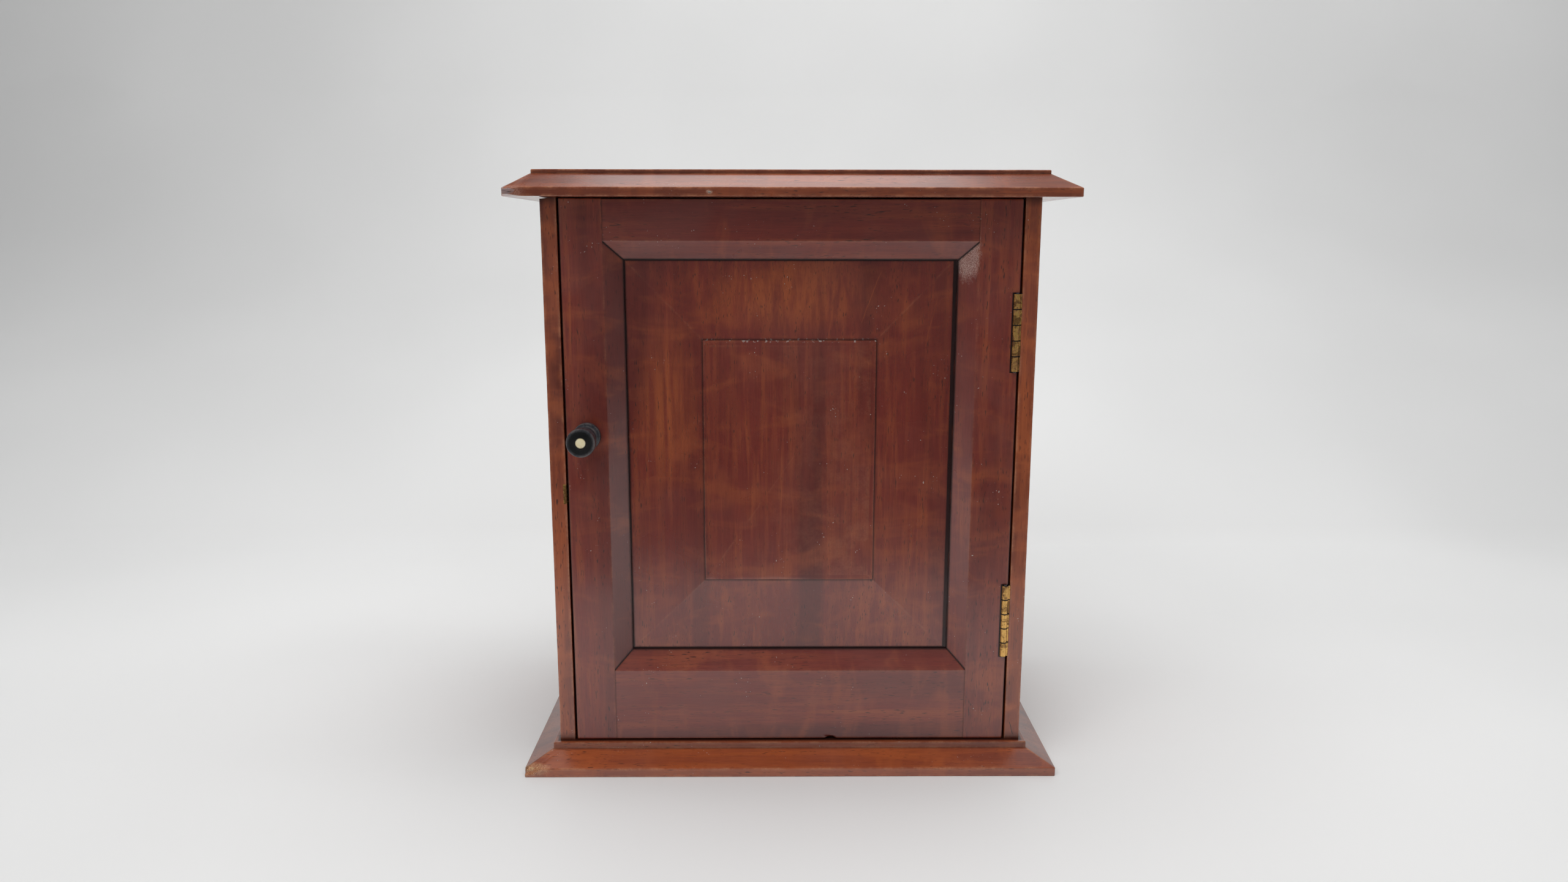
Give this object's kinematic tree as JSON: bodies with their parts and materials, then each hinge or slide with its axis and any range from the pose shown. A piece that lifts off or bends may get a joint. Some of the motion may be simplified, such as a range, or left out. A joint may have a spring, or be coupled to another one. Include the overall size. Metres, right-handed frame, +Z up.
{
  "type": "jewelry armoire",
  "caption": "Table-top jewellery cabinet of French-polished mahogany: moulded base and top, a raised-and-fielded door on brass butt hinges, a turned knob, and shelves and a peg rail inside.",
  "frame": {"origin": "centre of the base's underside", "axes": "+Z up, the height and the longest side; +Y to the back; +X to the right as one faces the door"},
  "size_m": [0.3598, 0.2236, 0.4015],
  "materials": {
    "case_mahogany": "French-polished red-brown mahogany, worn lighter on the arrises",
    "door_mahogany": "French-polished dark red mahogany with a hazy shine",
    "panel_mahogany": "French-polished figured mahogany",
    "inner_mahogany": "oiled mahogany, less polished than outside",
    "back_wood": "stained and unpolished",
    "dowel_wood": "plain beech",
    "velvet": "bottle-green cotton velvet",
    "brass": "tarnished, bright where it is rubbed",
    "steel": "dull bright steel",
    "ebony": "polished ebony",
    "bone": null
  },
  "bodies": {
    "case": {"base_board": "case_mahogany", "top_board": "case_mahogany", "side_left": "case_mahogany", "side_right": "case_mahogany", "back_panel": "back_wood", "lower_shelf": "inner_mahogany", "upper_shelf": "inner_mahogany", "peg_rail": "inner_mahogany", "door_stops": "inner_mahogany", "floor_lining": "velvet", "lower_shelf_lining": "velvet", "upper_shelf_lining": "velvet", "necklace_pegs": "brass", "base_dowels": "dowel_wood", "top_dowels": "dowel_wood", "back_screws": "brass", "strike_plate": "brass", "strike_pins": "brass", "hinge_pins": "steel", "hinge_case_screws": "brass", "upper_hinge_case_leaf": "brass", "lower_hinge_case_leaf": "brass"},
    "door": {"closing_stile": "door_mahogany", "hanging_stile": "door_mahogany", "top_rail": "door_mahogany", "bottom_rail": "door_mahogany", "door_panel": "panel_mahogany", "upper_hinge_door_leaf": "brass", "lower_hinge_door_leaf": "brass", "hinge_door_screws": "brass", "knob": "ebony", "knob_inlay": "bone", "knob_screw": "steel", "knob_washer": "steel", "catch_barrel": "brass"},
    "catch": {"catch_bullet": "steel", "catch_spring": "steel"}
  },
  "joints": [
    {"name": "door_hinge", "type": "hinge", "parent": "case", "child": "door", "pos_m": [0.1454, -0.08795, 0.2], "axis": [0, 0, 1], "range_deg": [0, 175]},
    {"name": "catch_travel", "type": "slide", "parent": "door", "child": "catch", "axis": [-1, 0, 0], "range_m": [-0.0008, 0.0014], "stiffness_N_per_m": 150, "springref_m": 0.0014}
  ]
}
